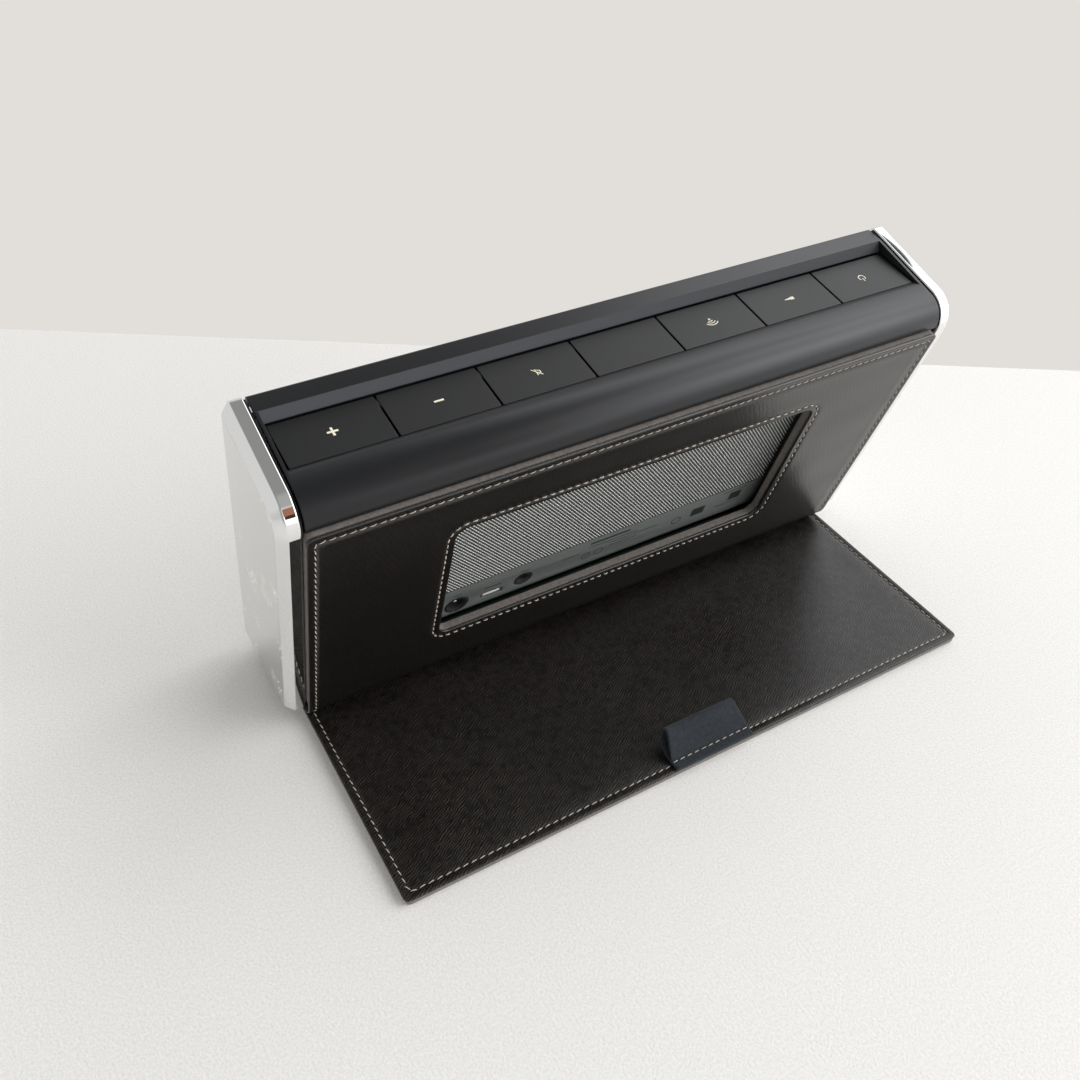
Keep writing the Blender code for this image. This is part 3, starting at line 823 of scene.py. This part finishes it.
def make_flap():
    """The opened flap: leather above a lined board, sewn round three sides."""
    low, high = stand_box("flap_leather")
    top = high[2]
    proud = 0.7  # the leather's edges stand a little past the board's
    reach = 0.75  # from the CAD leather's edge on to the fold's roll
    outer = RoundRect(low[0] - proud, high[0] + proud, low[1] - reach, high[1] + proud, 1.6)

    def placed(points, levels):
        return along_z(points, levels + top)

    def relief(points, depth):
        level = -edge_round(depth, 0.5)
        level -= groove(depth - STITCH_INSET, 0.8, 0.26)
        swell = np.clip(depth / 10, 0, 1)
        return level + ripple(points, 8, (90, 47, 29, 17), 0.1) * swell - 0.12 * swell

    rims = [0, 0.06, 0.2, 0.45, 0.75, 1.1, 1.6, 2.05, 2.35, 2.6, 2.9, 3.3, 4.0]
    solid = sheet_solid(outer, [], relief, LEATHER, placed, 2.4, rims)
    skin = new_piece("flap_skin", *solid, "flap", "leather", FLAP, ["flap_leather"], False, 70)

    tab_low, tab_high = stand_box("pull_tab")
    line = outer.loop(STITCH_INSET, STITCH_PITCH)
    kept = line[line[:, 1] > low[1] + 7]
    far = kept[:, 1] > high[1] - 4
    under_tab = far & (kept[:, 0] > tab_low[0] + 0.9) & (kept[:, 0] < tab_high[0] - 0.9)
    solids = [stitch_solids(kept[~under_tab], placed, -0.02)]
    hem_top = tab_low[2] + HEM_THICK - top
    solids.append(stitch_solids(kept[under_tab], placed, hem_top + 0.02, slant=0.1))
    stitches = new_piece("flap_stitches", *merged(solids), "thread", "leather", FLAP, (), False, 80)
    underside = top - LEATHER - LAYER_GAP

    low, high = stand_box("flap_board")
    tuck = 0.12  # from the leather's free edge in to the board's
    board = RoundRect(low[0] - 0.4, high[0] + 0.4, low[1], outer.high[1] - tuck, 1.5)

    def below(points, levels):
        return along_z(points, low[2] - levels)

    rims = [0, 0.06, 0.2, 0.5, 1.4]
    solid = sheet_solid(board, [], soft_edge(0.5), underside - low[2], below, 5.0, rims)
    new_piece("flap_core", *solid, "lining", "lining", FLAP, ["flap_board"], False, 60)


def make_fold():
    """The rolled leather edge that the flap turns about."""
    low, high = stand_box("cover_fold")
    centre = (low + high) / 2
    angles = np.linspace(0, 2 * pi, 32, endpoint=False)
    circle = np.column_stack([np.cos(angles), np.sin(angles)])
    radius = 1.15
    ends = ((0.0, 0.6), (0.3, 0.9), (0.8, 1.0))  # how far in, and the radius there as a share
    stations = [(low[0] + x, radius * share) for x, share in ends]
    stations += [(x, radius + 0.03 * sin(x * 1.3)) for x in np.linspace(low[0] + 4, high[0] - 4, 90)]
    stations += [(high[0] - x, radius * share) for x, share in ends[::-1]]
    loops = [along_x(centre[1:] + circle * r, x) for x, r in stations]
    new_piece("fold_roll", *loft(loops), "flap", "leather", SPEAKER, ["cover_fold"], False, 60)


def make_tab():
    """The ribbon at the flap's edge: a sewn hem and a soft loop that leans to the speaker."""
    low, high = stand_box("pull_tab")
    base, end = low[2], high[1]
    from_end = [
        (0, 0.1), (0, HEM_THICK - 0.1), (1.8, HEM_THICK), (3.3, HEM_THICK + 0.05), (4.5, 2.9),
        (6.5, 6.2), (8.4, 9.0), (10.2, 9.9), (11.9, 8.7), (11.8, 6.0), (10.3, 3.3), (8.3, 1.2),
        (6.3, 0.2), (4.0, 0),
    ]
    outer = smooth_loop([(end - y, base + z) for y, z in from_end], 96)
    inner = inset_loop(outer, 1.0)
    loops_outer, loops_inner = [], []
    half = high[0]
    stations = np.r_[-half, -half + 0.15, np.linspace(-half + 1, half - 1, 19), half - 0.15, half]
    for x in stations:
        share = (x / half + 1) / 2
        rise = min(0.62 + 0.28 * share + 0.04 * sin(6.2 * share), 1.0)
        squeeze = 0.12 if abs(abs(x) - half) < 0.01 else 0.0
        shaped = [shape_tab(loop, base, end, rise) for loop in (outer, inner)]
        middle = (shaped[0] + shaped[1]) / 2
        for loops, shape in ((loops_outer, shaped[0]), (loops_inner, shaped[1])):
            ring = along_x(shape + (middle - shape) * squeeze * 2, x)
            ring[:, 0] *= 1 - (0.014 if x > 0 else 0.005) * np.clip(ring[:, 2] - base - 1.0, 0, None)
            loops.append(ring)
    loops = loops_outer + loops_inner[::-1]
    ribbon = new_piece("tab_ribbon", *ring_loft(loops), "suede", "suede", FLAP, ["pull_tab"], False, 60)


def shape_tab(loop, base, end, rise):
    """The tab's side outline with its loop pressed down to a share of its height."""
    y, z = loop.T
    lifted = np.clip((end - 3.0 - y) / 4.0, 0, 1)
    pressed = lifted * (1 - rise)
    return np.column_stack([y - (z - base) * pressed * 0.55, base + (z - base) * (1 - pressed)])


def smooth_loop(points, count):
    """A closed curve through the points (Catmull-Rom), at even steps."""
    points = np.asarray(points, float)
    curve = []
    for i in range(len(points)):
        a, b, c, d = (points[(i + k) % len(points)] for k in (-1, 0, 1, 2))
        slope, bend, twist = c - a, 2 * a - 5 * b + 4 * c - d, 3 * b - a - 3 * c + d
        for t in np.linspace(0, 1, 12, endpoint=False):
            curve.append(0.5 * (2 * b + slope * t + bend * t**2 + twist * t**3))
    return resampled(np.array(curve), perimeter(np.array(curve)) / count)


def perimeter(loop):
    return np.linalg.norm(np.roll(loop, -1, axis=0) - loop, axis=1).sum()


def inset_loop(loop, distance):
    """The loop's inner face: each point moved inwards, at most half way to the far side."""
    ahead = np.roll(loop, -1, axis=0) - np.roll(loop, 1, axis=0)
    ahead /= np.linalg.norm(ahead, axis=1)[:, None]
    area = 0.5 * np.sum(loop[:, 0] * np.roll(loop[:, 1], -1) - np.roll(loop[:, 0], -1) * loop[:, 1])
    inward = np.column_stack([-ahead[:, 1], ahead[:, 0]]) * np.sign(area)
    room = np.clip((loop[:, 0].max() - 4.6 - loop[:, 0]) / 1.5, 0.0, 1.0)
    moved = loop + inward * (0.2 + (distance - 0.2) * room)[:, None]
    hem = loop[:, 0] > loop[:, 0].max() - 4.6
    low, high = loop[:, 1].min(), loop[:, 1].min() + 1.1
    moved[hem, 1] = np.clip(moved[hem, 1], (low + high) / 2 - 0.08, (low + high) / 2 + 0.08)
    moved[hem, 0] = np.minimum(moved[hem, 0], loop[:, 0].max() - 4.4)
    return moved


# ---------------------------------------------------------------- grilles and sockets


def dash_field(x_span, z_span, pitch, vector, width, base, top):
    """Slanted raised bars in staggered rows, as on pressed metal mesh."""
    pitch_x, pitch_z = pitch
    rows = np.arange(z_span[0] + pitch_z / 2, z_span[1] - abs(vector[1]) / 2, pitch_z)
    made = []
    side = np.array([-vector[1], vector[0]]) / hypot(*vector) * width / 2
    along = np.array(vector) / 2
    for row, z in enumerate(rows):
        shift = (row * pitch_z * abs(vector[0]) / abs(vector[1])) % pitch_x
        shift = pitch_x - shift if vector[0] < 0 else shift
        xs = np.arange(x_span[0] + abs(vector[0]) + shift, x_span[1] - abs(vector[0]), pitch_x)
        centres = np.column_stack([xs, np.full(len(xs), z)])
        corners = [-along - side, along - side, along + side, -along + side]
        ridge = [-along * 0.7, along * 0.7]
        block = [np.column_stack([centres + c, np.full(len(xs), base)]) for c in corners]
        block += [np.column_stack([centres + c, np.full(len(xs), top)]) for c in ridge]
        pattern = [(0, 1, 5, 4), (1, 2, 5), (2, 3, 4, 5), (3, 0, 4), (3, 2, 1, 0)]
        faces = [tuple(k * 6 + i for i in face) for k in range(len(xs)) for face in pattern]
        made.append((np.stack(block, axis=1).reshape(-1, 3), faces))
    points, faces = merged(made)
    return points[:, [0, 2, 1]], faces


def make_grille(word, radius, spans, pitch, vector, width):
    """A dark ground under rows of slanted silver bars."""
    low, high = lean_box(word + "_grille")
    inner, face, out = (low[1], high[1], 1) if word == "rear" else (high[1], low[1], -1)
    ground = box_outline(low[0], high[0], low[2], high[2], radius)
    solid = loft([along_y(ground, y) for y in (inner, face - 0.2 * out)])
    new_piece(word + "_mesh_ground", *solid, "mesh_dark", "grille", replaced=[word + "_grille"])
    field = dash_field(*spans, pitch, vector, width, face - 0.3 * out, face - 0.02 * out)
    new_piece(word + "_mesh_bars", *field, "mesh", "grille", sharp=20)


def make_grilles():
    low, _ = lean_box("rear_grille")
    spans = (-71.5, 71.5), (low[2] + 0.2, 96.8)  # a little past the cover's window
    make_grille("rear", 1, spans, (1.3, 1.12), (0.74, 0.96), 0.52)
    low, high = lean_box("front_grille")
    spans = (low[0] + 1, high[0] - 1), (low[2] + 0.8, high[2] - 0.6)
    make_grille("front", 0.8, spans, (1.6, 1.4), (-0.92, 1.2), 0.66)


def make_connector_strip():
    low, high = lean_box("connector_strip")
    face = high[1]
    outline = box_outline(low[0], high[0], low[2], high[2], 1, top_radius=0.6)
    loops = [along_y(outline, y) for y in (low[1], face)]
    strip = new_piece("strip_face", *loft(loops), "strip", "connector_strip", replaced=["connector_strip"])
    sockets = {}
    for word in ("dc", "usb", "aux"):
        box = lean_box(word + "_socket")
        sockets[word] = ((box[0] + box[1]) / 2, (box[1] - box[0])[0] / 2)
    holes = []
    for word in ("dc", "aux"):
        (x, _, z), radius = sockets[word]
        holes.append(arc((x, z), radius + 0.25, 0, 2 * pi * 47 / 48, 47))
    (x, _, z), half = sockets["usb"]
    holes.append(centred_outline(x, z, half + 0.3, 1.45, 0.6))
    ends = face - 4, face + 2
    tools = [cutter("hole_cutter", *loft([along_y(hole, y) for y in ends])) for hole in holes]
    cut_away(strip, "strip", *tools)
    soften(strip, "strip", 0.15, 40)
    make_sockets(sockets, face)
    make_print(face)


def turned_y(profile, centre, steps=40):
    """Loops of a (radius, depth) profile turned about the leaning Y axis through the centre."""
    angles = np.linspace(0, 2 * pi, steps, endpoint=False)
    circle = np.column_stack([np.cos(angles), np.sin(angles)])
    return [along_y(circle * max(r, 0.01), depth) + centre for r, depth in profile]


def make_sockets(sockets, face):
    (x, _, z), radius = sockets["dc"]
    barrel = [
        (0.02, -6.0), (radius, -6.0), (radius, -0.1), (radius - 0.15, 0.12), (radius - 0.6, 0.18),
        (radius - 0.95, 0.02), (radius - 1.0, -0.4), (3.3, -0.45), (3.2, -0.5), (2.9, -0.6),
        (2.85, -4.8), (0.02, -4.9),
    ]
    solid = loft(turned_y(barrel, (x, face, z)))
    new_piece("dc_barrel", *solid, "rubber", "rubber", replaced=["dc_socket"], sharp=45)
    pin = [(0.02, -4.6), (0.85, -4.6), (0.85, -1.5), (0.6, -1.15), (0.02, -1.05)]
    new_piece("dc_pin", *loft(turned_y(pin, (x, face, z), 24)), "steel", "steel", sharp=45)

    (x, _, z), radius = sockets["aux"]
    jack = [
        (0.02, -6.0), (radius, -6.0), (radius, -0.1), (radius - 0.12, 0.06), (radius - 0.4, 0.08),
        (2.6, -0.3), (1.95, -0.5), (1.85, -0.7), (1.8, -5.2), (0.02, -5.3),
    ]
    solid = loft(turned_y(jack, (x, face, z)))
    new_piece("aux_jack", *solid, "rubber", "rubber", replaced=["aux_socket"], sharp=45)

    (x, _, z), half = sockets["usb"]
    outer = centred_outline(x, z, half, 1.2, 0.5)
    inner = centred_outline(x, z, half - 0.3, 0.9, 0.3)
    loops = [along_y(outer, face - 6), along_y(outer, face - 0.15)]
    loops += [along_y(inner, face - 0.15), along_y(inner, face - 5)]
    new_piece("usb_shell", *loft(loops), "steel", "steel", replaced=["usb_socket"], sharp=40)
    # The tongue's near-white look is a painted highlight on the socket's metal.
    tongue = centred_outline(x, z - 0.05, half - 1.0, 0.4, 0.2, 3)
    new_piece("usb_tongue", *loft([along_y(tongue, y) for y in (face - 4.9, face - 0.2)]), "contact", "steel")


def make_print(face):
    """Plain printed shapes in place of the maker's text and symbols."""
    solids = []
    bars = [
        (59.0, 40.9, 3.0, 0.35), (45.3, 38.6, 6.6, 0.4), (32.8, 41.0, 3.6, 0.35),
        (13.6, 38.4, 7.6, 0.35), (6.8, 35.2, 1.6, 0.35), (-2.4, 42.4, 17.0, 1.0),
        (-4.0, 40.2, 21.0, 0.35), (-13.0, 38.4, 22.0, 0.35), (-9.0, 36.6, 12.0, 0.35),
        (-42.6, 37.6, 6.0, 4.6), (-59.4, 39.6, 5.4, 4.6), (-58.6, 43.3, 11.0, 0.35),
        (-57.5, 35.6, 12.0, 0.35),
    ]
    for x, z, width, height in bars:
        outline = centred_outline(x, z, width / 2, height / 2, 0.08, 2)
        solids.append(loft([along_y(outline, y) for y in (face - 0.1, face + 0.02)]))
    for x, z, radius, width in ((6.8, 35.2, 1.9, 0.35), (1.4, 35.4, 1.9, 0.3), (-33.0, 36.4, 2.1, 0.4)):
        hole = radius - width
        profile = [(hole, -0.1), (radius, -0.1), (radius, 0.02), (hole, 0.02)]
        solids.append(ring_loft(turned_y(profile, (x, face, z), 36)))
    new_piece("strip_print", *merged(solids), "print", "connector_strip", sharp=40)


# ---------------------------------------------------------------- stage, light and camera


def make_stage():
    """A pale table whose far edge lies behind the speaker."""
    table = Look("pale table", linear(232, 230, 226), 0.5)
    pebbles = table.noise(1300, 2.0, 0.6)
    table.bump(pebbles, 0.16)
    table.tint(table.span(pebbles, 0.3, 0.7), linear(236, 234, 230), linear(252, 250, 247))
    edge_point = Vector((-0.078, -0.173, 0))
    edge_along = Vector((-0.479, 0.293, 0)).normalized()
    toward = Vector((edge_along.y, -edge_along.x, 0))  # from the edge to the camera's side
    near, wide = 1.6, 2.0
    spots = ((-wide, 0), (wide, 0), (wide, near), (-wide, near))
    corners = [tuple(edge_point + edge_along * a + toward * b) for a, b in spots]
    mesh = bpy.data.meshes.new("table")
    mesh.from_pydata(corners, [], [(0, 1, 2, 3)])
    mesh.materials.append(table.material)
    linked("table", mesh)


# patches of the room: direction, degrees to the inner and outer edge, and linear colour
ROOM_PATCHES = (
    ((-0.48, 0.8, 0.34), 16, 44, (1.8, 1.85, 1.92)),  # window wall
    ((-0.74, 0.62, 0.2), 8, 32, (3.0, 3.08, 3.2)),  # window
    ((-0.38, 0.3, 0.86), 14, 34, (0.43, 0.43, 0.42)),  # dark ceiling
    ((-0.76, -0.24, 0.6), 14, 30, (2.3, 2.33, 2.36)),  # far window
    ((0.75, 0.6, 0.3), 12, 38, (0.36, 0.36, 0.37)),  # dim corner
    ((-0.18, 0.79, 0.56), 12.4, 13.2, (0.38, 0.18, 0.115)),  # wood
    ((-0.19, 0.92, 0.34), 5.0, 5.6, (0.07, 0.035, 0.025)),  # frame
    ((-0.68, -0.28, 0.67), 2.4, 3.4, (0.06, 0.085, 0.06)),  # plant
)


def make_room():
    """The light round the table: pale walls, a darker ceiling and a few brighter patches."""
    world = bpy.data.worlds.new("room")
    bpy.context.scene.world = world
    world.use_nodes = True
    nodes, links = world.node_tree.nodes, world.node_tree.links
    toward = nodes.new("ShaderNodeTexCoord").outputs["Generated"]

    def blend_in(colour, factor, patch):
        mix = nodes.new("ShaderNodeMix")
        mix.data_type = "RGBA"
        links.new(factor, mix.inputs["Factor"])
        if isinstance(colour, tuple):
            mix.inputs["A"].default_value = (*colour, 1)
        else:
            links.new(colour, mix.inputs["A"])
        mix.inputs["B"].default_value = (*patch, 1)
        return mix.outputs["Result"]

    def lobe(axis, inner, outer):
        """1 within the inner angle of the axis, and 0 past the outer one."""
        dot = nodes.new("ShaderNodeVectorMath")
        dot.operation = "DOT_PRODUCT"
        links.new(toward, dot.inputs[0])
        dot.inputs[1].default_value = Vector(axis).normalized()
        smooth = nodes.new("ShaderNodeMapRange")
        smooth.interpolation_type = "SMOOTHSTEP"
        smooth.inputs["From Min"].default_value = cos(radians(outer))
        smooth.inputs["From Max"].default_value = cos(radians(inner))
        links.new(dot.outputs["Value"], smooth.inputs["Value"])
        return smooth.outputs["Result"]

    colour = blend_in((0.74, 0.74, 0.74), lobe((0, 0, 1), 28, 60), (0.3, 0.3, 0.295))
    for axis, inner, outer, patch in ROOM_PATCHES:
        colour = blend_in(colour, lobe(axis, inner, outer), patch)
    colour = blend_in(colour, lobe((0, 0, -1), 84, 90), linear(226, 223, 219))
    seen = nodes.new("ShaderNodeLightPath").outputs["Is Camera Ray"]
    links.new(blend_in(colour, seen, linear(226, 223, 219)), nodes["Background"].inputs["Color"])


def make_light():
    """A broad window behind the speaker, on the right cap's side."""
    place, target = Vector((-1.65, 0.83, 1.48)), Vector((0, 0, 0.05))
    light = bpy.data.lights.new("window", "AREA")
    light.shape = "DISK"
    light.size = 2.25
    light.energy = 26.5
    made = linked("window", light)
    made.location = place
    made.rotation_euler = (target - place).to_track_quat("-Z", "Y").to_euler()


def make_camera():
    """The viewpoint: behind, above and to the left of the standing speaker."""
    azimuth, elevation, roll = radians(31.509), radians(41.541), radians(2.2617)
    place = Vector((172.148, 243.129, 298.095)) * MM
    ahead = Vector((-sin(azimuth) * cos(elevation), -cos(azimuth) * cos(elevation), -sin(elevation)))
    right = Vector((-cos(azimuth), sin(azimuth), 0))
    up = right.cross(ahead)
    image_right = right * cos(roll) + up * sin(roll)
    image_up = up * cos(roll) - right * sin(roll)
    camera_data = bpy.data.cameras.new("camera")
    camera_data.sensor_width = 36
    camera_data.lens = 35.949
    camera_data.clip_start = 0.01
    camera = linked("camera", camera_data)
    turn = Matrix((image_right, image_up, -ahead)).transposed()
    camera.matrix_world = Matrix.Translation(place) @ turn.to_4x4()
    bpy.context.scene.camera = camera


bpy.context.scene.view_settings.view_transform = "Standard"
make_camera()
make_stage()
make_room()
make_light()
dress_frame()
make_caps()
make_top_shell()
make_keys()
make_cover()
make_flap()
make_fold()
make_tab()
make_grilles()
make_connector_strip()
